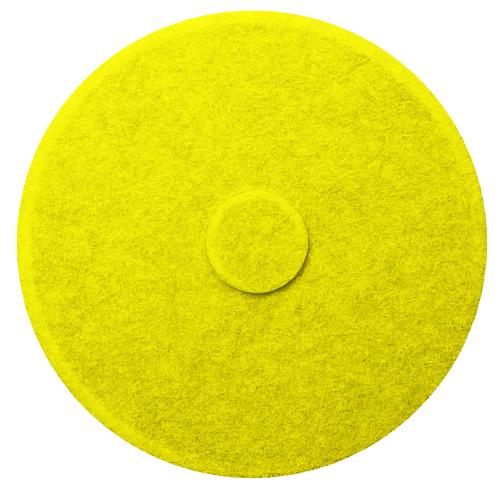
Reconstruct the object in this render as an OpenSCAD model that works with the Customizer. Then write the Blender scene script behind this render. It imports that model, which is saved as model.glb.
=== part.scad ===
// Floor polishing pad: a round nonwoven disc with its die-cut centre plug still in the hole.
// +Z up, origin on the floor under the middle of the disc, millimetres.

/* [Disc] */
// Diameter of the disc
disc_d = 381; // [280:1:560]
// Thickness of the nonwoven web
web_t = 25; // [15:0.5:32]
// Radius of the die-cut rim where it meets the two faces
rim_r = 1.5; // [0.5:0.25:4]

/* [Centre hole] */
// Diameter of the centre hole
hole_d = 83; // [60:0.5:110]
// How far the hole sits off the middle, along X
hole_x = 4; // [-10:0.5:10]
// How far the hole sits off the middle, along Y
hole_y = 1.5; // [-10:0.5:10]
// Radius of the hole's mouth on both faces
mouth_r = 0.75; // [0.25:0.25:3]

/* [Centre plug] */
// Gap all round between the plug and the hole, left by the cutting die
cut_gap = 0.3; // [0.1:0.05:0.6]
// How far the plug stands above the disc's upper face
plug_proud = 4; // [0:0.5:10]
// Radius of the plug's edges
plug_edge_r = 1; // [0.25:0.25:3]

/* [Hidden] */
$fn = 180;
web_yellow = [0.90, 0.86, 0.02];
plug_yellow = [0.93, 0.89, 0.02];
disc_r = disc_d / 2;
hole_r = hole_d / 2;
plug_r = hole_r - cut_gap;
through = 2; // how far the hole's cutter runs past each face
overlap = 0.01; // how far the cutter's flares run into its shaft

// Half of a round slab's section, with all four corners of the whole section rounded.
module slab_section(radius, thickness, corner) {
    square([radius - corner, thickness]);
    translate([0, corner]) square([radius, thickness - 2 * corner]);
    for (z = [corner, thickness - corner])
        translate([radius - corner, z]) circle(corner);
}

// A round slab standing on z = 0.
module round_slab(radius, thickness, corner) {
    rotate_extrude() intersection() {
        slab_section(radius, thickness, corner);
        square([radius, thickness]);
    }
}

// The ring that rounds a hole's mouth: wide at the face, z = 0, and gone one radius below it.
module mouth_flare(radius, corner) {
    rotate_extrude() difference() {
        translate([radius - overlap, -corner]) square([corner + overlap, corner + through]);
        translate([radius + corner, -corner]) circle(corner);
    }
}

// What the die takes out of the web for the centre hole.
module hole_cutter() {
    translate([0, 0, -through]) cylinder(r = hole_r, h = web_t + 2 * through);
    translate([0, 0, web_t]) mouth_flare(hole_r, mouth_r);
    mirror([0, 0, 1]) mouth_flare(hole_r, mouth_r);
}

module pad_disc() {
    color(web_yellow) difference() {
        round_slab(disc_r, web_t, rim_r);
        translate([hole_x, hole_y, 0]) hole_cutter();
    }
}

// The plug is the same web, so it is as thick as the disc and its lower face is lifted too.
module centre_plug() {
    color(plug_yellow) translate([hole_x, hole_y, plug_proud])
        round_slab(plug_r, web_t, plug_edge_r);
}

pad_disc();
centre_plug();
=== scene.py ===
"""A thick round polishing pad of open nonwoven web, with its die-cut centre plug.

The web is built the way it is made: crimped fibres, each a tube of its own, lie tangled in a shell
round a lumpy core of the same yellow, and the die has trimmed them all to the outline of the disc, of
its hole and of the plug. Lengths are in metres, +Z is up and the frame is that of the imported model.
"""

from __future__ import annotations

import logging
import math
from dataclasses import dataclass, field
from enum import Enum

import bpy
import numpy as np
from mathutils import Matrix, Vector


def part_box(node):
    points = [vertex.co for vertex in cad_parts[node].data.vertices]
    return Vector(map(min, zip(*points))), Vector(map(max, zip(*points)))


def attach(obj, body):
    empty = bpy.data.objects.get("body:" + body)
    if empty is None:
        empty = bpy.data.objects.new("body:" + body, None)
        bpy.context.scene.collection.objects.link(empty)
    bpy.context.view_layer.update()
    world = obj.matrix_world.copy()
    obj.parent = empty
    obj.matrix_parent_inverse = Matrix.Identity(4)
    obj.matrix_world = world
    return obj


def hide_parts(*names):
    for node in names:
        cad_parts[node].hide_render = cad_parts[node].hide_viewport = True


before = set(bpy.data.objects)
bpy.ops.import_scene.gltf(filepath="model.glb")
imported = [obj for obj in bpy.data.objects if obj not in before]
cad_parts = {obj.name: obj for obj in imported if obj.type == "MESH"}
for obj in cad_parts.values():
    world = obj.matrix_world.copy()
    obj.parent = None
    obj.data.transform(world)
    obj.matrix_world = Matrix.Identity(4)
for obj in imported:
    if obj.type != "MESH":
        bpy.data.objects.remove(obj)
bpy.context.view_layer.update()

LOG = logging.getLogger("pad")
MM = 0.001
TURN = 2 * math.pi
# The tone mark on each vertex: a fibre's own random dye tone plus painted light where the web is pressed.
TONE = "fibre_tone_and_painted_light"
MATTING = "Matted fibre"
PAINTED_LIGHT_TONE = 1.5  # painted light: how much paler the web is painted where it is pressed, on the scale of a fibre's tone
SHADOW_SHARE = 0.8  # a crimped fibre's shadow, as a share of the same fibre's laid straight
DISC_SEED, PLUG_SEED = 101, 501
SEEDS_PER_FACE, SEEDS_PER_LAYER = 10, 5
DISC_WAVES = ((2, 0.62 * MM, 0.3), (3, 0.25 * MM, 2.0))  # count, height and phase of each
HOLE_CLEARANCE, PLUG_OVERSIZE = 0.18 * MM, 0.12 * MM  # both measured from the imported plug's radius
PLUG_RIM_COVER = 0.9
LAYER_REACH = 1.5  # how deep a level fibre may run from its wall, as a share of the shell's depth
SHORTEST_CUT = 0.1  # the least of a step that a trimmed fibre keeps
TINY, TINIEST = 1e-9, 1e-12  # they keep divisions clear of nought
FLOOR_GREY = (0.35, 0.35, 0.35, 1.0)
WHITE = (1.0, 1.0, 1.0, 1.0)


class Face(Enum):
    """The faces of a piece that is cut from the web."""

    TOP = "top"
    UNDER = "under"
    RIM = "rim"
    HOLE = "hole"

    @property
    def on_wall(self) -> bool:
        """Whether it is one of the upright walls."""
        return self in (Face.RIM, Face.HOLE)


# ---------------------------------------------------------------- outlines


@dataclass(frozen=True)
class Outline:
    """A nearly round outline, as a die leaves it in soft web."""

    centre: tuple[float, float]
    radius: float
    waves: tuple[tuple[int, float, float], ...] = ()

    def at(self, angle: np.ndarray) -> np.ndarray:
        """Distance from the centre to the outline.

        Args:
            angle: Directions from the centre, in radians.

        Returns:
            One radius for each direction.
        """
        radius = np.full_like(angle, self.radius)
        for count, height, phase in self.waves:
            radius = radius + height * np.cos(count * angle - phase)
        return radius

    def inset(self, x: np.ndarray, y: np.ndarray) -> np.ndarray:
        """How far points lie inside the outline, negative outside it.

        Args:
            x: X of each point.
            y: Y of each point.

        Returns:
            One distance for each point.
        """
        dx, dy = x - self.centre[0], y - self.centre[1]
        return self.at(np.arctan2(dy, dx)) - np.hypot(dx, dy)


@dataclass(frozen=True)
class Lumps:
    """Soft hills and hollows over the web, as a sum of a few plane waves."""

    height: float
    length: float
    count: int
    seed: int
    pitch_range: tuple[float, float] = (0.7, 1.5)

    def at(self, points: np.ndarray) -> np.ndarray:
        """The height of the web's unevenness.

        Args:
            points: An array whose last axis holds X, Y and Z.

        Returns:
            One height for each point.
        """
        rng = np.random.default_rng(self.seed)
        total = np.zeros(points.shape[:-1])
        for _ in range(self.count):
            way = rng.normal(size=3)
            way /= np.linalg.norm(way)
            pitch = self.length * rng.uniform(*self.pitch_range)
            total += np.sin(points @ (way * TURN / pitch) + rng.uniform(0, TURN))
        return self.height * total * math.sqrt(2 / self.count)


# ---------------------------------------------------------------- fibres


@dataclass(frozen=True)
class Fibre:
    """The crimped fibre that the web is made of, and how it lies.

    The grain is how far it runs across the web for each length that it runs along it. The ranges are what
    single fibres differ by, as shares of the radius, the crimp and the swing.
    """

    radius: float = 0.18 * MM
    length: float = 22 * MM
    step: float = 0.95 * MM
    crimp: float = 3.4 * MM
    swing: float = 1.35
    wander: float = 0.25
    grain: float = 0.7
    lift: float = 0.45 * MM
    lift_pitch: float = 1.3
    slope: float = 0.03
    sides: int = 3
    radius_range: tuple[float, float] = (0.8, 1.25)
    crimp_range: tuple[float, float] = (0.7, 1.4)
    swing_range: tuple[float, float] = (0.6, 1.25)
    tip: float = 0.7
    surface_bias: float = 0.8
    fewest_rings: int = 3

    @property
    def rings(self) -> int:
        """How many rings a whole fibre's tube has."""
        return int(round(self.length / self.step)) + 1


def rounded(inset: np.ndarray, radius: float) -> np.ndarray:
    """How far a quarter-round edge falls away.

    Args:
        inset: Distances inside the edge.
        radius: The edge's radius.

    Returns:
        One depth for each distance.
    """
    out = np.clip(radius - inset, 0, radius)
    return radius - np.sqrt(radius**2 - out**2)


@dataclass(frozen=True)
class Edge:
    """How a piece's faces meet its walls: a small rounding, after a wide, shallow crown.

    The web is pressed down there, most of all on the side that the lean points to, and in a narrow band
    beside the die's cut, where `tight` and `hole_tight` say how hard. Where it is pressed it is also
    painted
    paler: a painted highlight on the side that the lean points to, and painted light that lifts the shade
    in the narrow bands beside the die's cut.
    """

    rounding: float
    crown_width: float
    crown_drop: float
    # The lean points to the top-left, where the light comes from: the web is painted paler there, a painted
    # highlight.
    lean: float = math.radians(132)
    lean_spread: float = 0.9
    squeeze: float = 0.7
    fade: float = 0.25
    tight: float = 0.0
    hole_tight: float = 0.9
    tight_width: float = 2.4 * MM
    # On the walls the pressing sets nothing but painted light: walls painted paler on the side that the
    # lean points to.
    wall_share: float = 0.25
    hole_rounding: float = 0.2 * MM

    def press_and_painted_light(self, inset: np.ndarray, angle: np.ndarray) -> np.ndarray:
        """How hard the web is pressed together, which also sets how much paler it is painted as painted
        light: not at all inside, and evenly over most of the crown.

        Args:
            inset: Distances inside the edge.
            angle: Directions from the piece's centre, in radians.

        Returns:
            One share for each point.
        """
        inward = (1 - inset / self.crown_width).clip(0, 1)
        tight = self.tight * (1 - inset / self.tight_width).clip(0, 1)
        return np.maximum(self.side(angle) * (inward / self.fade).clip(0, 1), tight)

    def hole_press_and_painted_light(self, from_hole: np.ndarray) -> np.ndarray:
        """How hard the die pressed the web together beside its cut, by the distance from the hole; it also
        sets the painted light that lifts the shade there.
        """
        return self.hole_tight * (1 - from_hole / self.tight_width).clip(0, 1)

    def side(self, angle: np.ndarray) -> np.ndarray:
        """How far each direction shares in the lean, from 0 to 1."""
        return (self.lean_spread + np.cos(angle - self.lean)).clip(0, 1)

    def drop(self, inset: np.ndarray, angle: np.ndarray) -> np.ndarray:
        """How far the crown falls away towards the outer edge.

        Args:
            inset: Distances inside the edge.
            angle: Directions from the piece's centre, in radians.

        Returns:
            One depth for each point.
        """
        return self.crown_drop * self.side(angle) * (1 - inset / self.crown_width).clip(0, 1) ** 2


@dataclass
class Sheet:
    """A flat or rolled-up strip of shell that fibres are laid in.

    Along it run u and v, and w is the depth below its face. Fibres start up to `past` beyond its edges,
    so that those which the die cuts short fill the edges as densely as the middle. On a flat face they
    end the clearance inside its edges, so that none stands out of the walls.
    """

    face: Face
    outer: Outline
    hole: Outline | None
    low: float
    high: float
    edge: Edge
    lumps: Lumps
    clearance: float
    past: float = 9 * MM

    def area(self) -> float:
        """The area that fibres start on, in square metres."""
        if self.face.on_wall:
            return TURN * self.wall().radius * (self.high - self.low + 2 * self.past)
        return math.pi * (self.outer.radius + self.past) ** 2

    def scatter(self, count: int, rng: np.random.Generator) -> np.ndarray:
        """Starting points spread evenly over the face and a little past its edges.

        Args:
            count: How many points to give.
            rng: Where the random numbers come from.

        Returns:
            An array of u and v.
        """
        if self.face.on_wall:
            u = rng.uniform(0, TURN * self.wall().radius, count)
            return np.stack([u, rng.uniform(self.low - self.past, self.high + self.past, count)], 1)
        reach = (self.outer.radius + self.past) * np.sqrt(rng.uniform(0, 1, count))
        angle = rng.uniform(0, TURN, count)
        return np.stack([reach * np.cos(angle), reach * np.sin(angle)], 1) + self.outer.centre

    def wall(self) -> Outline:
        """The outline that a rolled-up strip follows."""
        return self.hole if self.face is Face.HOLE else self.outer

    def place(self, uvw: np.ndarray) -> tuple[np.ndarray, np.ndarray, np.ndarray, np.ndarray]:
        """Where points of the strip lie in space.

        Args:
            uvw: An array whose last axis holds u, v and the depth w.

        Returns:
            The points, the outward normals there, how far each is inside the trimmed edge, and how hard
            the web is pressed there, which also sets how much painted light it gets.
        """
        u, v, w = uvw[..., 0], uvw[..., 1], uvw[..., 2]
        if self.face.on_wall:
            return self.place_on_wall(u, v, w)
        inset = self.outer.inset(u, v)
        angle = np.arctan2(v - self.outer.centre[1], u - self.outer.centre[0])
        press_and_painted_light = self.edge.press_and_painted_light(inset, angle)
        sunk = self.edge.drop(inset, angle) + rounded(inset, self.edge.rounding)
        if self.hole:
            from_hole = -self.hole.inset(u, v)
            press_and_painted_light = np.maximum(press_and_painted_light, self.edge.hole_press_and_painted_light(from_hole.clip(0)))
            sunk += rounded(from_hole, self.edge.hole_rounding)
            inset = np.minimum(inset, from_hole)
        sunk += w * (1 - self.edge.squeeze * press_and_painted_light)
        up = 1.0 if self.face is Face.TOP else -1.0
        level = self.high if self.face is Face.TOP else self.low
        flat = np.stack([u, v, np.full_like(u, level)], -1)
        sunk += (2 * self.lumps.height + self.lumps.at(flat)).clip(0)
        points = np.stack([u, v, level - up * sunk], -1)
        normals = np.zeros_like(points)
        normals[..., 2] = up
        return points, normals, inset - self.clearance, press_and_painted_light

    def place_on_wall(
        self, u: np.ndarray, v: np.ndarray, w: np.ndarray
    ) -> tuple[np.ndarray, np.ndarray, np.ndarray, np.ndarray]:
        """Where points of a rolled-up strip lie in space.

        Args:
            u: Distance round the wall.
            v: Height.
            w: Depth into the web.

        Returns:
            The points, the outward normals there, how far each is inside the trimmed edge, and how hard
            the web is pressed there, which also sets how much painted light it gets.
        """
        wall, on_rim = self.wall(), self.face is Face.RIM
        out = 1.0 if on_rim else -1.0
        angle = u / wall.radius
        at_edge = np.zeros_like(u)
        press_and_painted_light = self.edge.press_and_painted_light(at_edge, angle) if on_rim else self.edge.hole_press_and_painted_light(at_edge)
        inset = np.minimum(v - self.low, self.high - v)
        if on_rim:
            inset -= self.edge.drop(at_edge, angle)
        rounding = self.edge.rounding if on_rim else self.edge.hole_rounding
        reach = wall.at(angle) - out * (w + rounded(inset, rounding))
        way = np.stack([np.cos(angle), np.sin(angle), np.zeros_like(angle)], -1)
        points = way * reach[..., None]
        points[..., 0] += wall.centre[0]
        points[..., 1] += wall.centre[1]
        points[..., 2] = v
        # A wall's share of the pressing is only painted light, a paler wall on the side the lean points to.
        return points, out * way, inset, self.edge.wall_share * press_and_painted_light


@dataclass
class Tangle:
    """Fibres laid in one sheet: points, normals, how hard they are pressed, which sets their painted light,
    and the rings each keeps.
    """

    points: np.ndarray
    normals: np.ndarray
    press_and_painted_light: np.ndarray
    kept: np.ndarray

    def with_more(self, other: Tangle) -> Tangle:
        """These fibres and another tangle's."""
        return Tangle(*(np.concatenate([a, b]) for a, b in zip(self.parts(), other.parts())))

    def parts(self) -> tuple[np.ndarray, ...]:
        """The arrays that the tangle is made of."""
        return self.points, self.normals, self.press_and_painted_light, self.kept

    def pick(self, chosen: np.ndarray) -> Tangle:
        """Some of the fibres.

        Args:
            chosen: Which ones to keep, as a mask.

        Returns:
            A tangle of those alone.
        """
        return Tangle(*(part[chosen] for part in self.parts()))


def lay(
    sheet: Sheet, fibre: Fibre, cover: float, depth: float, seed: int, layered: bool = False
) -> Tangle:
    """Lays crimped fibres in a sheet and trims them where the die cut.

    Args:
        sheet: The sheet they lie in.
        fibre: What they are.
        cover: How many times over their own shadows cover the face.
        depth: How deep below the face the deepest lie.
        seed: Seed of the random numbers.
        layered: On a wall, whether they lie in level layers and run out of the wall, cut short.

    Returns:
        The trimmed fibres, without those that lie outside.
    """
    rng = np.random.default_rng(seed)
    rings = fibre.rings
    count = int(cover * sheet.area() / (2 * fibre.radius * fibre.length * SHADOW_SHARE))
    along = np.arange(rings) * fibre.step
    crimp = fibre.crimp * rng.uniform(*fibre.crimp_range, (count, 1))
    swing = fibre.swing * rng.uniform(*fibre.swing_range, (count, 1))
    heading = rng.uniform(0, TURN, (count, 1)) + np.cumsum(rng.normal(0, fibre.wander, (count, rings)), 1)
    heading += swing * np.sin(TURN * along / crimp + rng.uniform(0, TURN, (count, 1)))
    along_way, across_way = np.cos(heading), fibre.grain * np.sin(heading)
    steps = np.cumsum(np.stack([along_way, across_way], -1) * fibre.step, 1)
    steps -= steps.mean(1, keepdims=True)
    start = sheet.scatter(count, rng)
    level = depth * rng.uniform(0, 1, (count, 1)) ** fibre.surface_bias
    slope = rng.normal(0, fibre.slope, (count, 1)) * (along - along.mean())
    waves = TURN * along / (fibre.lift_pitch * crimp) + rng.uniform(0, TURN, (count, 1))
    bob = slope + fibre.lift * np.sin(waves)
    u = start[:, :1] + steps[..., 0]
    if layered:
        level = rng.uniform(-depth, depth, (count, 1))
        v, w = start[:, 1:] + bob, level + steps[..., 1]
        points, normals, inset, press_and_painted_light = sheet.place(np.stack([u, v, w], -1))
        inset = np.minimum(inset, np.minimum(w, LAYER_REACH * depth - w))
        return trimmed(points, normals, press_and_painted_light, inset, fibre.fewest_rings)
    v, w = start[:, 1:] + steps[..., 1], np.clip(level + bob, fibre.radius, depth + 2 * fibre.lift)
    points, normals, inset, press_and_painted_light = sheet.place(np.stack([u, v, w], -1))
    return trimmed(points, normals, press_and_painted_light, inset, fibre.fewest_rings)


def trimmed(
    points: np.ndarray, normals: np.ndarray, press_and_painted_light: np.ndarray, inset: np.ndarray, fewest: int
) -> Tangle:
    """Keeps each fibre's first stretch inside the cut outline, ending exactly on it.

    Args:
        points: The fibres' points.
        normals: The sheet's normals there.
        press_and_painted_light: How hard the web is pressed there, which also sets its painted light.
        inset: How far inside the outline each point is.
        fewest: How many rings a fibre must have left to be kept.

    Returns:
        The fibres that are long enough.
    """
    rows, rings = np.arange(len(inset)), inset.shape[1]
    first = (inset > 0).argmax(1)
    start = np.maximum(first - 1, 0)
    order = np.arange(rings) + start[:, None]
    past_end = order >= rings
    order = order.clip(0, rings - 1)
    points, normals, press_and_painted_light, inset = (x[rows[:, None], order] for x in (points, normals, press_and_painted_light, inset))
    opened = np.nonzero(first > 0)[0]
    cut_between(points, inset, opened, np.zeros_like(opened), np.ones_like(opened))
    inside = inset > 0
    inside[opened, 0] = inside[opened, 1]
    outside = ~inside | past_end
    kept = np.where(outside.any(1), outside.argmax(1), rings)
    closed = np.nonzero((kept > 1) & (kept < rings))[0]
    closed = closed[~past_end[closed, kept[closed]]]
    cut_between(points, inset, closed, kept[closed], kept[closed] - 1)
    kept[closed] += 1
    return Tangle(points, normals, press_and_painted_light, kept).pick(kept >= fewest)


def cut_between(
    points: np.ndarray, inset: np.ndarray, rows: np.ndarray, outer: np.ndarray, inner: np.ndarray
) -> None:
    """Moves each fibre's outer point back along its last step to where the die cut it.

    Args:
        points: The fibres' points, changed in place.
        inset: How far inside the outline each point is.
        rows: The fibres to cut.
        outer: Their points outside the outline.
        inner: The neighbours inside it.
    """
    there, here = inset[rows, outer], inset[rows, inner]
    share = (here / np.maximum(here - there, TINY)).clip(SHORTEST_CUT, 1.0)[:, None]
    points[rows, outer] = points[rows, inner] * (1 - share) + points[rows, outer] * share


@dataclass
class TubeMesh:
    """Turns a tangle into one mesh of closed tubes, with a map that gives each fibre a cell."""

    fibre: Fibre
    seed: int
    tone_spread: float = 0.2
    cell_margin: float = 0.08
    corner_turn: float = 0.25
    cap_spread: tuple[float, float] = (0.3, 0.7)

    def build(self, name: str, tangle: Tangle) -> bpy.types.Object:
        """Builds the tubes.

        Args:
            name: The new object's name.
            tangle: The fibres.

        Returns:
            The object, linked to the scene.
        """
        sides, (count, rings, _) = self.fibre.sides, tangle.points.shape
        radius = self.radii(count, rings, tangle.kept)
        along = np.gradient(tangle.points, axis=1)
        self.hold_ends(along, tangle)
        along /= np.linalg.norm(along, axis=2, keepdims=True) + TINIEST
        across = np.cross(along, tangle.normals)
        across /= np.linalg.norm(across, axis=2, keepdims=True) + TINIEST
        above = np.cross(across, along)
        turn = TURN * (np.arange(sides) + self.corner_turn) / sides
        ring = np.cos(turn)[:, None] * across[:, :, None] + np.sin(turn)[:, None] * above[:, :, None]
        spots = tangle.points[:, :, None] + radius[..., None, None] * ring
        used = np.arange(rings) < tangle.kept[:, None]
        number = np.full((count, rings), -1)
        number[used] = np.arange(used.sum())
        links = used[:, 1:]
        a, b = number[:, :-1][links], number[:, 1:][links]
        quads = [
            np.stack([a * sides + j, a * sides + k, b * sides + k, b * sides + j], 1)
            for j, k in ((j, (j + 1) % sides) for j in range(sides))
        ]
        cells = self.cells(count)
        fibre_of, ring_of = np.nonzero(links)
        quad_map = [self.quad_places(cells[fibre_of], ring_of, j, rings) for j in range(sides)]
        last = number[np.arange(count), tangle.kept - 1]
        corner = np.arange(sides)
        caps = np.concatenate(
            [(number[:, 0] * sides)[:, None] + corner[::-1], (last * sides)[:, None] + corner]
        )
        cap_map = np.concatenate(
            [self.cap_places(cells, np.zeros(count), rings), self.cap_places(cells, tangle.kept - 1, rings)]
        )
        return new_mesh(
            name,
            spots[used].reshape(-1, 3),
            [(np.concatenate(quads), np.concatenate(quad_map)), (caps, cap_map)],
            # Random dye tone plus painted light: paler where the web is pressed, on the lit side and beside
            # the die's cut.
            {TONE: np.repeat((self.tones(count) + PAINTED_LIGHT_TONE * tangle.press_and_painted_light)[used], sides)},
        )

    def tones(self, count: int) -> np.ndarray:
        """How pale, over 0, or deep, under 0, each fibre is dyed."""
        return np.random.default_rng(self.seed + 1).normal(0, self.tone_spread, (count, 1))

    def radii(self, count: int, rings: int, kept: np.ndarray) -> np.ndarray:
        """Each ring's radius: fibres differ a little, and thin towards their ends."""
        rng = np.random.default_rng(self.seed)
        radius = self.fibre.radius * rng.uniform(*self.fibre.radius_range, (count, 1)) * np.ones((1, rings))
        radius[:, 0] *= self.fibre.tip
        radius[np.arange(count), kept - 1] *= self.fibre.tip
        return radius

    @staticmethod
    def hold_ends(along: np.ndarray, tangle: Tangle) -> None:
        """Points the last ring of each fibre the way it was going.

        Args:
            along: The fibres' directions, changed in place.
            tangle: The fibres.
        """
        rows, last = np.arange(len(along)), tangle.kept - 1
        along[rows, last] = tangle.points[rows, last] - tangle.points[rows, last - 1]

    @staticmethod
    def cells(count: int) -> np.ndarray:
        """The corner and size of each fibre's cell on the map."""
        columns = math.ceil(math.sqrt(count))
        spot = np.arange(count)
        size = np.full(count, 1 / columns)
        return np.stack([(spot % columns) / columns, (spot // columns) / columns, size], 1)

    def quad_places(self, cells: np.ndarray, ring: np.ndarray, side: int, rings: int) -> np.ndarray:
        """Map places of one side's quads, four corners each."""
        inner = 1 - 2 * self.cell_margin
        u0, u1 = ring / (rings - 1), (ring + 1) / (rings - 1)
        v0, v1 = side / self.fibre.sides, (side + 1) / self.fibre.sides
        u = np.stack([u0, u0, u1, u1], 1) * inner + self.cell_margin
        v = np.array([v0, v1, v1, v0])[None] * inner + self.cell_margin
        return np.stack([cells[:, :1] + u * cells[:, 2:], cells[:, 1:2] + v * cells[:, 2:]], -1)

    def cap_places(self, cells: np.ndarray, ring: np.ndarray, rings: int) -> np.ndarray:
        """Map places of the end caps, a small triangle at the ring they close."""
        inner = 1 - 2 * self.cell_margin
        u = (ring / (rings - 1) * inner + self.cell_margin)[:, None]
        reach = self.cell_margin / 2 * (np.arange(self.fibre.sides) % 2)[None]
        v = np.linspace(*self.cap_spread, self.fibre.sides)[None]
        return np.stack([cells[:, :1] + (u + reach) * cells[:, 2:], cells[:, 1:2] + v * cells[:, 2:]], -1)


def new_mesh(
    name: str,
    spots: np.ndarray,
    faces: list[tuple[np.ndarray, np.ndarray | None]],
    marks: dict[str, np.ndarray] | None = None,
) -> bpy.types.Object:
    """Makes a smooth-shaded mesh object from arrays.

    Args:
        name: The object's name.
        spots: The vertices.
        faces: Groups of faces with the same number of corners, each with its map places or None.
        marks: Numbers to keep on the vertices for the materials, by name.

    Returns:
        The object, linked to the scene.
    """
    mesh = bpy.data.meshes.new(name)
    corners = [np.asarray(group).ravel() for group, _ in faces]
    counts = np.concatenate([np.full(len(group), group.shape[1]) for group, _ in faces])
    mesh.vertices.add(len(spots))
    mesh.vertices.foreach_set("co", spots.astype(np.float32).ravel())
    mesh.loops.add(int(counts.sum()))
    mesh.loops.foreach_set("vertex_index", np.concatenate(corners).astype(np.int32))
    mesh.polygons.add(len(counts))
    starts = np.concatenate([[0], np.cumsum(counts)[:-1]])
    mesh.polygons.foreach_set("loop_start", starts.astype(np.int32))
    if all(places is not None for _, places in faces):
        layer = mesh.uv_layers.new(name="OFBake", do_init=False)
        places = np.concatenate([p.reshape(-1, 2) for _, p in faces])
        layer.uv.foreach_set("vector", places.astype(np.float32).ravel())
    mesh.update(calc_edges=True)
    for key, values in (marks or {}).items():
        mesh.attributes.new(key, "FLOAT", "POINT").data.foreach_set("value", values.astype(np.float32))
    mesh.shade_smooth()
    made = bpy.data.objects.new(name, mesh)
    bpy.context.collection.objects.link(made)
    return made


# ---------------------------------------------------------------- finishes

Colour = tuple[float, float, float, float]
COLOUR_MIX_INPUTS, COLOUR_MIX_OUTPUT = (0, 6, 7), 2


class Nodes:
    """A small helper that adds and links shader nodes in one tree."""

    def __init__(self, tree: bpy.types.NodeTree) -> None:
        """Starts on a tree."""
        self.tree = tree

    def add(self, kind: str, settings: dict | None = None, **inputs: object) -> bpy.types.Node:
        """Adds a node.

        Args:
            kind: The node's class name, without "ShaderNode".
            settings: Properties of the node itself.
            **inputs: Values or output sockets for its inputs, by name with _ for a space.

        Returns:
            The node.
        """
        node = self.tree.nodes.new("ShaderNode" + kind)
        for key, value in (settings or {}).items():
            setattr(node, key, value)
        for key, value in inputs.items():
            self.feed(node.inputs[key.replace("_", " ")], value)
        return node

    def feed(self, socket: bpy.types.NodeSocket, value: object) -> None:
        """Links an output socket to an input, or sets the input to a plain value."""
        if isinstance(value, bpy.types.NodeSocket):
            self.tree.links.new(value, socket)
        else:
            socket.default_value = value

    def maths(self, operation: str, a: object, b: object = 0.0) -> bpy.types.NodeSocket:
        """One step of arithmetic on two values or sockets."""
        node = self.tree.nodes.new("ShaderNodeMath")
        node.operation = operation
        for socket, value in zip(node.inputs, (a, b)):
            self.feed(socket, value)
        return node.outputs[0]

    def blend(self, factor: object, a: object, b: object) -> bpy.types.NodeSocket:
        """A colour between two colours."""
        node = self.tree.nodes.new("ShaderNodeMix")
        node.data_type = "RGBA"
        for index, value in zip(COLOUR_MIX_INPUTS, (factor, a, b)):
            self.feed(node.inputs[index], value)
        return node.outputs[COLOUR_MIX_OUTPUT]

    def made_with(self, kind: str) -> bpy.types.Node:
        """The node of one kind that a new tree starts with."""
        return next(x for x in self.tree.nodes if x.type == kind)


def group_with(
    name: str, inputs: dict[str, object], outputs: dict[str, str]
) -> tuple[bpy.types.NodeTree, Nodes]:
    """Starts a shader node group.

    Args:
        name: The group's name.
        inputs: Each input's name and default: a number or a colour.
        outputs: Each output's name and socket type.

    Returns:
        The group's tree and a helper on it.
    """
    tree = bpy.data.node_groups.new(name, "ShaderNodeTree")
    for key, value in inputs.items():
        kind = "NodeSocketColor" if isinstance(value, tuple) else "NodeSocketFloat"
        socket = tree.interface.new_socket(key, in_out="INPUT", socket_type=kind)
        socket.default_value = value
    for key, kind in outputs.items():
        tree.interface.new_socket(key, in_out="OUTPUT", socket_type=kind)
    return tree, Nodes(tree)


def fibre_tint_group() -> bpy.types.NodeTree:
    """The colour of dyed fibre, with paler and deeper flecks and clouds, and paler still where the tone
    mark holds painted light.
    """
    tree, n = group_with(
        "Fibre tint",
        {
            "Dye": (0.9, 0.85, 0.01, 1.0),
            "Pale": (0.95, 0.92, 0.02, 1.0),
            "Deep": (0.7, 0.6, 0.003, 1.0),
            "Fleck size": 0.0009,
            "Fleck strength": 6.0,
            "Cloud size": 0.05,
            "Cloud strength": 0.4,
        },
        {"Colour": "NodeSocketColor", "Fleck": "NodeSocketFloat"},
    )
    given = tree.nodes.new("NodeGroupInput").outputs
    place = n.add("TexCoord").outputs["Object"]
    fine = n.add(
        "TexNoise",
        Vector=place,
        Scale=n.maths("DIVIDE", 1.0, given["Fleck size"]),
        Detail=1.0,
    ).outputs["Fac"]
    cloud = n.add(
        "TexNoise",
        Vector=place,
        Scale=n.maths("DIVIDE", 1.0, given["Cloud size"]),
        Detail=2.0,
    ).outputs["Fac"]
    # The tone mark holds each fibre's random dye tone and painted light from the pressed web.
    tone = n.add("Attribute", {"attribute_name": TONE}).outputs["Fac"]
    flecked = n.maths("MULTIPLY", n.maths("SUBTRACT", fine, 0.5), given["Fleck strength"])
    mixed = n.maths("ADD", tone, flecked)
    pale = n.add("MapRange", Value=mixed, From_Min=0.0, From_Max=1.0).outputs["Result"]
    deep = n.add("MapRange", Value=mixed, From_Min=0.0, From_Max=-1.0).outputs["Result"]
    clouded = n.add("MapRange", Value=cloud, From_Min=0.35, From_Max=0.7).outputs["Result"]
    body = n.blend(n.maths("MULTIPLY", clouded, given["Cloud strength"]), given["Dye"], given["Pale"])
    body = n.blend(pale, body, given["Pale"])
    body = n.blend(deep, body, given["Deep"])
    out = tree.nodes.new("NodeGroupOutput")
    tree.links.new(body, out.inputs["Colour"])
    tree.links.new(fine, out.inputs["Fleck"])
    return tree


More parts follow.
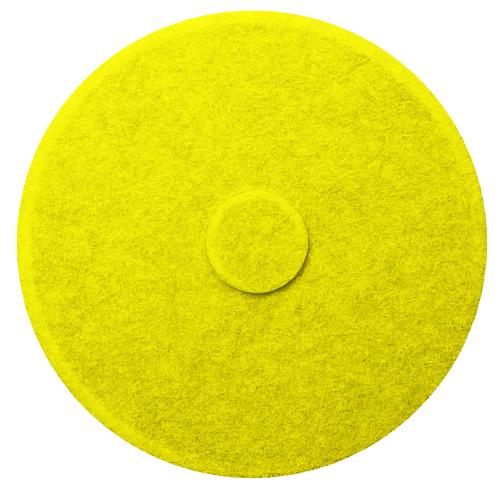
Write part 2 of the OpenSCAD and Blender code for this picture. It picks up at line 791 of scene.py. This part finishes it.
def matted_fibre_group() -> bpy.types.NodeTree:
    """Fibres too deep to model one by one: a height made of warped, curling ridges, and the pits between
    them, which the core's finish paints darker as painted shade.
    """
    tree, n = group_with(
        MATTING,
        {"Strand pitch": 0.0016, "Strand width": 0.22, "Curl": 0.0012, "Curl scale": 420.0},
        {"Height": "NodeSocketFloat", "Pit": "NodeSocketFloat"},
    )
    given = tree.nodes.new("NodeGroupInput").outputs
    place = n.add("TexCoord").outputs["Object"]
    bend = n.add("TexNoise", Vector=place, Scale=given["Curl scale"], Detail=1.0).outputs["Color"]
    centred = n.add("VectorMath", {"operation": "SUBTRACT"})
    tree.links.new(bend, centred.inputs[0])
    centred.inputs[1].default_value = (0.5, 0.5, 0.5)
    scaled = n.add("VectorMath", {"operation": "SCALE"})
    tree.links.new(centred.outputs[0], scaled.inputs[0])
    tree.links.new(n.maths("MULTIPLY", given["Curl"], 2.0), scaled.inputs["Scale"])
    warped = n.add("VectorMath", {"operation": "ADD"})
    tree.links.new(place, warped.inputs[0])
    tree.links.new(scaled.outputs[0], warped.inputs[1])
    cells = n.add(
        "TexVoronoi",
        {"feature": "DISTANCE_TO_EDGE"},
        Vector=warped.outputs[0],
        Scale=n.maths("DIVIDE", 1.0, given["Strand pitch"]),
    ).outputs["Distance"]
    strand = n.add(
        "MapRange", Value=cells, From_Min=0.0, From_Max=given["Strand width"], To_Min=1.0, To_Max=0.0
    )
    out = tree.nodes.new("NodeGroupOutput")
    tree.links.new(strand.outputs["Result"], out.inputs["Height"])
    tree.links.new(n.maths("SUBTRACT", 1.0, strand.outputs["Result"]), out.inputs["Pit"])
    return tree


@dataclass(frozen=True)
class FibreFinish:
    """Dyed, resin-coated fibre."""

    name: str
    dye: Colour
    pale: Colour
    deep: Colour
    roughness: tuple[float, float] = (0.30, 0.50)
    specular: float = 0.5
    gloss_tint: Colour = (1.0, 0.94, 0.08, 1.0)
    glow: float = 0.0
    glow_reach: float = 0.004
    glow_colours: tuple[float, float, float] = (1.0, 0.95, 0.1)
    fleck_range: tuple[float, float] = (0.3, 0.7)

    def material(self, tint: bpy.types.NodeTree) -> bpy.types.Material:
        """Makes the material.

        Args:
            tint: The group that colours fibres.

        Returns:
            The material.
        """
        made, n, shader = started(self.name)
        colour = n.add("Group", {"node_tree": tint}, Dye=self.dye, Pale=self.pale, Deep=self.deep)
        n.feed(shader.inputs["Base Color"], colour.outputs["Colour"])
        rough = n.add(
            "MapRange",
            Value=colour.outputs["Fleck"],
            From_Min=self.fleck_range[0],
            From_Max=self.fleck_range[1],
            To_Min=self.roughness[1],
            To_Max=self.roughness[0],
        )
        n.feed(shader.inputs["Roughness"], rough.outputs["Result"])
        self.set_sockets(shader)
        return made

    def set_sockets(self, shader: bpy.types.Node) -> None:
        """Sets what is the same all over the surface."""
        shader.inputs["Specular IOR Level"].default_value = self.specular
        shader.inputs["Specular Tint"].default_value = self.gloss_tint
        if self.glow:
            shader.inputs["Subsurface Weight"].default_value = self.glow
            shader.inputs["Subsurface Radius"].default_value = self.glow_colours
            shader.inputs["Subsurface Scale"].default_value = self.glow_reach


@dataclass(frozen=True)
class MattedFinish(FibreFinish):
    """The web below the fibres that are modelled one by one, painted darker in the pits between its strands
    as painted shade.
    """

    relief: float = 0.0009
    relief_strength: float = 0.9
    painted_pit_shade: float = 0.55

    def material(self, tint: bpy.types.NodeTree) -> bpy.types.Material:
        """Makes the material.

        Args:
            tint: The group that colours fibres.

        Returns:
            The material.
        """
        made = super().material(tint)
        n = Nodes(made.node_tree)
        shader = n.made_with("BSDF_PRINCIPLED")
        dyed = shader.inputs["Base Color"].links[0].from_socket
        matting = n.add("Group", {"node_tree": bpy.data.node_groups[MATTING]})
        # Painted shade: the colour is blended towards the deep colour in the pits between strands.
        pits = n.maths("MULTIPLY", matting.outputs["Pit"], self.painted_pit_shade)
        n.feed(shader.inputs["Base Color"], n.blend(pits, dyed, self.deep))
        bump = n.add(
            "Bump", Height=matting.outputs["Height"], Distance=self.relief, Strength=self.relief_strength
        )
        n.feed(shader.inputs["Normal"], bump.outputs["Normal"])
        return made


def started(name: str) -> tuple[bpy.types.Material, Nodes, bpy.types.Node]:
    """A new material with a Principled shader, a helper on its tree, and the shader."""
    made = bpy.data.materials.new(name)
    made.use_nodes = True
    n = Nodes(made.node_tree)
    return made, n, n.made_with("BSDF_PRINCIPLED")


# ---------------------------------------------------------------- pieces


@dataclass
class WebPiece:
    """One piece of web: a lumpy core inside a shell of fibres."""

    name: str
    node: str
    body: str
    slot: str
    outer: Outline
    hole: Outline | None
    edge: Edge
    seed: int
    fibre: Fibre = field(default_factory=Fibre)
    cover: dict[Face, float] = field(
        default_factory=lambda: {Face.TOP: 0.85, Face.UNDER: 0.5, Face.RIM: 0.6, Face.HOLE: 0.9}
    )
    layered_cover: dict[Face, float] = field(default_factory=lambda: {Face.RIM: 0.6, Face.HOLE: 0.9})
    shell: float = 2.0 * MM
    wall_shell: float = 0.9 * MM
    core_inset: float = 1.4 * MM
    rim_inset: float = 0.30 * MM
    hole_inset: float = 0.25 * MM
    core_cell: float = 2.4 * MM
    cell_stretch: float = 1.2
    wall_lump_share: float = 0.5
    sectors: int = 1
    rim_sectors: int = 1
    unevenness: Lumps = Lumps(0.04 * MM, 34 * MM, 7, 5)
    core_lumps: Lumps = Lumps(0.12 * MM, 7 * MM, 24, 11)

    @property
    def levels(self) -> tuple[float, float]:
        """The lower and upper faces' heights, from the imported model."""
        low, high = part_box(self.node)
        return low[2], high[2]

    def sheet(self, face: Face) -> Sheet:
        """The sheet that one face's fibres are laid in."""
        thickest = self.fibre.radius_range[1] * self.fibre.radius
        return Sheet(face, self.outer, self.hole, *self.levels, self.edge, self.unevenness, thickest)

    def build(self, strands: bpy.types.Material, matted: bpy.types.Material) -> None:
        """Builds the core and every face's fibres, dressed and riding.

        Args:
            strands: The fibres' material.
            matted: The core's material.
        """
        core = self.core()
        core.data.materials.append(matted)
        pieces = [core]
        faces = [face for face in Face if self.hole or face is not Face.HOLE]
        for index, face in enumerate(faces):
            for piece in self.fibres(face, self.seed + SEEDS_PER_FACE * index):
                piece.data.materials.append(strands)
                pieces.append(piece)
        for piece in pieces:
            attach(piece, self.body)
        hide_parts(self.node)

    def fibres(self, face: Face, seed: int) -> list[bpy.types.Object]:
        """One face's fibres, as one piece for each sector.

        Args:
            face: The face.
            seed: Seed of the random numbers.

        Returns:
            The pieces.
        """
        shell = self.wall_shell if face.on_wall else self.shell
        tangle = lay(self.sheet(face), self.fibre, self.cover[face], shell, seed)
        if face.on_wall:
            cover = self.layered_cover[face]
            layers = lay(self.sheet(face), self.fibre, cover, self.shell, seed + SEEDS_PER_LAYER, True)
            tangle = tangle.with_more(layers)
        sectors = 1 if face is Face.HOLE else self.rim_sectors if face is Face.RIM else self.sectors
        middle = tangle.points[:, 0, :2] - self.outer.centre
        around = np.arctan2(middle[:, 1], middle[:, 0]) / TURN % 1.0
        share = (around * sectors).astype(int).clip(0, sectors - 1)
        made = []
        for sector in range(sectors):
            name = f"{self.name}_{face.value}_fibres" + (f"_{sector + 1}" if sectors > 1 else "")
            part = tangle.pick(share == sector)
            piece = TubeMesh(self.fibre, seed + sector).build(name, part)
            LOG.info("%s: %d fibres, %d faces", name, len(part.kept), len(piece.data.polygons))
            made.append(piece)
        return made

    def core(self) -> bpy.types.Object:
        """The closed lumpy body under the fibres."""
        low, high = self.levels
        rim = Outline(self.outer.centre, self.outer.radius - self.rim_inset, self.outer.waves)
        around = int(TURN * rim.radius / (self.cell_stretch * self.core_cell))
        angle = np.arange(around) * TURN / around
        way = np.stack([np.cos(angle), np.sin(angle)], -1)
        outer = way * rim.at(angle)[:, None] + rim.centre
        inner = np.array([self.outer.centre])
        if self.hole:
            inner = way * (self.hole.at(angle) + self.hole_inset)[:, None] + self.hole.centre
        across = int(np.linalg.norm(outer - inner, axis=1).mean() / self.core_cell)
        upright = int((high - low) / self.core_cell)
        share, rise = np.arange(1, across + 1) / across, np.arange(1, upright) / upright
        profile = [(s, 0.0) for s in share] + [(1.0, r) for r in rise] + [(s, 1.0) for s in share[::-1]]
        if self.hole:
            profile += [(0.0, r) for r in (1.0, *rise[::-1], 0.0)]
        rows, press_and_painted_light = [], []
        for out, up in profile:
            flat = inner * (1 - out) + outer * out
            inset = (self.outer.inset(flat[:, 0], flat[:, 1]) - self.rim_inset).clip(0)
            press_and_painted_light.append(self.edge.press_and_painted_light(inset, angle))
            if self.hole:
                from_hole = (-self.hole.inset(flat[:, 0], flat[:, 1]) - self.hole_inset).clip(0)
                press_and_painted_light[-1] = np.maximum(press_and_painted_light[-1], self.edge.hole_press_and_painted_light(from_hole))
            sunk = self.core_inset * (1 - self.edge.squeeze * press_and_painted_light[-1]) + self.edge.drop(inset, angle)
            rows.append(np.c_[flat, low + sunk + up * (high - low - 2 * sunk)])
        count = len(profile)
        i, j = np.meshgrid(np.arange(count if self.hole else count - 1), np.arange(around), indexing="ij")
        i2, j2 = (i + 1) % count, (j + 1) % around
        quads = np.stack([i * around + j, i * around + j2, i2 * around + j2, i2 * around + j], -1)
        groups = [(quads.reshape(-1, 4), None)]
        spots = np.concatenate(rows)
        if not self.hole:
            here, there, pole = np.arange(around), np.roll(np.arange(around), -1), len(spots)
            last = (count - 1) * around
            under = np.c_[there, here, np.full(around, pole)]
            over = np.c_[last + here, last + there, np.full(around, pole + 1)]
            groups.append((np.concatenate([under, over]), None))
            heights = (low + self.core_inset, high - self.core_inset)
            poles = [[*self.outer.centre, height] for height in heights]
            spots = np.concatenate([spots, poles])
            press_and_painted_light.append(np.zeros(len(poles)))
        # The core is painted paler where it is pressed: painted light, as on the fibres.
        made = new_mesh(f"{self.name}_core", spots, groups, {TONE: PAINTED_LIGHT_TONE * np.concatenate(press_and_painted_light)})
        self.roughen(made.data)
        LOG.info("%s: %d faces", made.name, len(made.data.polygons))
        return made

    def roughen(self, mesh: bpy.types.Mesh) -> None:
        """Pushes the core's surface in and out, less on its walls than on its faces.

        Args:
            mesh: The core's mesh, changed in place.
        """
        spots, normals = (np.empty(len(mesh.vertices) * 3, np.float32) for _ in range(2))
        mesh.vertices.foreach_get("co", spots)
        mesh.vertex_normals.foreach_get("vector", normals)
        spots, normals = spots.reshape(-1, 3).astype(float), normals.reshape(-1, 3)
        flatness = np.abs(normals[:, 2:])
        share = flatness + self.wall_lump_share * (1 - flatness)
        spots += normals * share * self.core_lumps.at(spots)[:, None]
        mesh.vertices.foreach_set("co", spots.astype(np.float32).ravel())
        mesh.update()


# ---------------------------------------------------------------- studio


@dataclass(frozen=True)
class SoftBox:
    """One soft light, aimed at the middle of the pad."""

    name: str
    place: tuple[float, float, float]
    size: tuple[float, float]
    power: float
    aim: tuple[float, float, float] = (0.0, 0.0, 0.02)

    def build(self) -> None:
        """Adds the light."""
        data = bpy.data.lights.new(self.name, "AREA")
        data.shape = "RECTANGLE"
        data.size, data.size_y = self.size
        data.energy = self.power
        made = bpy.data.objects.new(self.name, data)
        bpy.context.collection.objects.link(made)
        made.location = self.place
        way = Vector(self.aim) - Vector(self.place)
        made.rotation_euler = way.to_track_quat("-Z", "Y").to_euler()
        made.visible_camera = False


@dataclass(frozen=True)
class ToneCurve:
    """How light is shown: steeper in the middle tones, gentle and a little warmer towards white.

    The points pair scene light with what is shown, and the green ones then take a little green off.
    """

    white: float = 2.0
    points: tuple[tuple[float, float], ...] = (
        (0.30, 0.215),
        (0.546, 0.546),
        (0.753, 0.765),
        (0.95, 0.875),
        (1.2, 0.945),
        (1.6, 0.985),
    )
    green: tuple[tuple[float, float], ...] = (
        (0.69, 0.685),
        (0.751, 0.728),
        (0.863, 0.79),
        (0.953, 0.857),
    )

    def apply(self, view: bpy.types.ColorManagedViewSettings) -> None:
        """Sets the curve on the scene's view.

        Args:
            view: The scene's view settings.
        """
        view.use_curve_mapping = True
        mapping = view.curve_mapping
        mapping.white_level = (self.white,) * 3
        _, green, _, combined = mapping.curves
        for scene_light, shown in self.points:
            combined.points.new(scene_light / self.white, shown)
        for level, shown in self.green:
            green.points.new(level, shown).handle_type = "VECTOR"
        mapping.update()


@dataclass
class Studio:
    """The white floor, the lights and the camera that looks straight down.

    The floor doesn't glow under the disc, which paints a shadow there, so that no white shows through the
    web or the die's cut.
    """

    disc_d: float
    top: float
    lens: float = 70.0
    sensor: float = 36.0
    fill: float = 0.943
    shift: tuple[float, float] = (-1.6 * MM, 0.7 * MM)
    nearest: float = 10 * MM
    floor_size: float = 8.0
    floor_glow: float = 0.3
    floor_seen: float = 2.0
    floor_roughness: float = 0.9
    shade_inset: float = 4 * MM
    shade_blur: float = 1 * MM
    ambient: float = 0.25
    response: ToneCurve = ToneCurve()
    lights: tuple[SoftBox, ...] = (
        SoftBox("strip", (-0.08, 0.62, 0.58), (1.5, 0.35), 8.3),
        SoftBox("near", (-0.22, 0.24, 0.72), (0.5, 0.5), 5.1),
        SoftBox("low_top", (-0.1, 0.9, 0.2), (0.4, 0.4), 3.0),
        SoftBox("left", (-0.7, 0.2, 1.1), (1.0, 1.0), 5.0),
    )

    def build(self) -> None:
        """Sets the studio up."""
        self.floor()
        self.world()
        self.camera()
        for light in self.lights:
            light.build()
        view = bpy.context.scene.view_settings
        view.view_transform = "Standard"
        view.look = "None"
        view.exposure = 0.0
        view.gamma = 1.0
        self.response.apply(view)

    def floor(self) -> None:
        """Lays the pale floor."""
        half = self.floor_size / 2
        spots = np.array([(-half, -half, 0), (half, -half, 0), (half, half, 0), (-half, half, 0)])
        made = new_mesh("floor", spots, [(np.array([[0, 1, 2, 3]]), None)])
        material, n, shader = started("pale floor")
        seen = n.add("LightPath").outputs["Is Camera Ray"]
        glow = n.add("MapRange", Value=seen, To_Min=self.floor_glow, To_Max=self.floor_seen)
        reach = n.add("VectorMath", {"operation": "LENGTH"})
        n.feed(reach.inputs[0], n.add("TexCoord").outputs["Object"])
        # Painted shadow: the floor's glow fades out under the disc.
        edge = self.disc_d / 2 - self.shade_inset
        beyond = edge + self.shade_blur
        clear = n.add("MapRange", Value=reach.outputs["Value"], From_Min=edge, From_Max=beyond)
        lit = n.maths("MULTIPLY", glow.outputs["Result"], clear.outputs["Result"])
        n.feed(shader.inputs["Emission Strength"], lit)
        shader.inputs["Base Color"].default_value = FLOOR_GREY
        shader.inputs["Roughness"].default_value = self.floor_roughness
        shader.inputs["Specular IOR Level"].default_value = 0.0
        shader.inputs["Emission Color"].default_value = WHITE
        made.data.materials.append(material)

    def world(self) -> None:
        """Surrounds the studio with a plain white that lights it softly."""
        made = bpy.data.worlds.new("studio")
        made.use_nodes = True
        n = Nodes(made.node_tree)
        seen = n.add("LightPath").outputs["Is Camera Ray"]
        level = n.add("MapRange", Value=seen, To_Min=self.ambient, To_Max=self.floor_seen)
        back = n.made_with("BACKGROUND")
        n.feed(back.inputs["Color"], WHITE)
        n.feed(back.inputs["Strength"], level.outputs["Result"])
        bpy.context.scene.world = made

    def camera(self) -> None:
        """Hangs the camera over the pad, with +Y up in its picture."""
        data = bpy.data.cameras.new("camera")
        data.lens = self.lens
        data.sensor_width = self.sensor
        width = self.disc_d / self.fill
        away = self.lens * width / self.sensor
        made = bpy.data.objects.new("camera", data)
        bpy.context.collection.objects.link(made)
        made.location = (*self.shift, self.top + away)
        data.clip_start = self.nearest
        bpy.context.scene.camera = made


# ---------------------------------------------------------------- assembly


def main() -> None:
    """Builds the pad, its plug and the studio."""
    logging.basicConfig(level=logging.INFO, format="%(name)s: %(message)s")
    disc_low, disc_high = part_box("pad_disc")
    plug_low, plug_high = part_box("centre_plug")
    disc_d = disc_high[0] - disc_low[0]
    plug_r = (plug_high[0] - plug_low[0]) / 2
    plug_at = ((plug_high[0] + plug_low[0]) / 2, (plug_high[1] + plug_low[1]) / 2)
    tint = fibre_tint_group()
    matted_fibre_group()
    yellow = FibreFinish(
        "yellow fibre",
        (0.82, 0.77, 0.0010, 1),
        (0.99, 0.94, 0.0015, 1),
        (0.50, 0.455, 0.0005, 1),
        glow=0.7,
        glow_reach=0.001,
    )
    deep = MattedFinish(
        "matted yellow fibre",
        (0.82, 0.77, 0.0010, 1),
        (0.96, 0.91, 0.0015, 1),
        (0.46, 0.41, 0.0003, 1),
        glow=1.0,
        glow_reach=0.008,
    )
    strands, matted = yellow.material(tint), deep.material(tint)
    edge = Outline((0.0, 0.0), disc_d / 2, DISC_WAVES)
    hole = Outline(plug_at, plug_r + HOLE_CLEARANCE)
    plug_edge = Outline(plug_at, plug_r + PLUG_OVERSIZE)
    disc_edge = Edge(rounding=0.7 * MM, crown_width=13 * MM, crown_drop=1.6 * MM)
    plug_top = Edge(rounding=0.3 * MM, crown_width=8 * MM, crown_drop=0.9 * MM, tight=0.6)
    disc = WebPiece(
        "pad", "pad_disc", "pad", "disc_web", edge, hole, disc_edge, DISC_SEED, sectors=12, rim_sectors=4
    )
    plug = WebPiece(
        "plug", "centre_plug", "plug", "plug_web", plug_edge, None, plug_top, PLUG_SEED, rim_inset=0.15 * MM
    )
    plug.cover[Face.RIM] = plug.layered_cover[Face.RIM] = PLUG_RIM_COVER
    disc.build(strands, matted)
    plug.build(strands, matted)
    Studio(disc_d, disc_high[2]).build()


if __name__ == "__main__":
    main()
